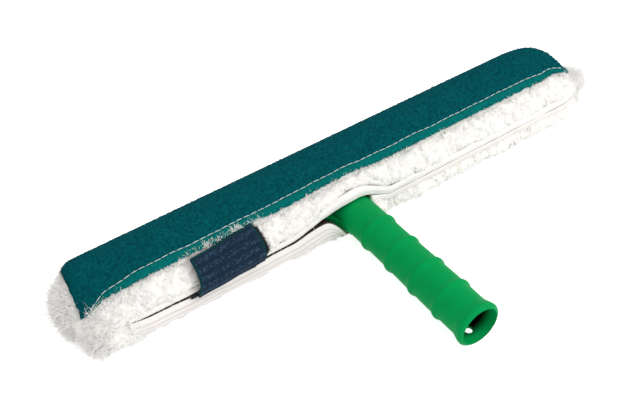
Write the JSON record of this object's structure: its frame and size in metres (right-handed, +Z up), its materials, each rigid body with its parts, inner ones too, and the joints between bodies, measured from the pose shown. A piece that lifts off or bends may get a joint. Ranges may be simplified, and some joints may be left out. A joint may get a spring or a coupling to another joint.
{
  "type": "window scrubber",
  "caption": "Fixed T-bar window scrubber: ringed hollow handle, ladder crossbar and a slit fleece washer sleeve with a scrubbing pad and a peel-open closure strap.",
  "frame": {"origin": "on the resting face of the sleeve, under the crossbar's middle and 7 mm behind its centre line", "axes": "+X along the crossbar, +Z up to the scrubbing pad; the handle points to -Y"},
  "size_m": [0.4794, 0.2146, 0.0501],
  "materials": {
    "green_plastic": "satin",
    "steel": "satin",
    "backing_cloth": "woven",
    "fleece": "fleece",
    "teal_pad": "abrasive non-woven",
    "white_tape": "smooth woven tape",
    "navy_webbing": "woven",
    "black_hook_loop": "hook and loop"
  },
  "bodies": {
    "t_bar_and_sleeve": {"crossbar": "green_plastic", "handle": "green_plastic", "handle_screws": "steel", "sleeve_backing": "backing_cloth", "sleeve_fleece": "fleece", "left_sleeve_end": "fleece", "right_sleeve_end": "fleece", "scrub_pad": "teal_pad", "upper_hem_tape": "white_tape", "lower_hem_tape": "white_tape", "loop_patch": "black_hook_loop", "strap_tail": "black_hook_loop"},
    "closure": {"closure_strap": "navy_webbing", "hook_patch": "black_hook_loop"}
  },
  "joints": [
    {"name": "closure_peel", "type": "hinge", "parent": "t_bar_and_sleeve", "child": "closure", "pos_m": [-0.114, -0.0446, 0.0225], "axis": [1, 0, 0], "range_deg": [0, 120]}
  ]
}
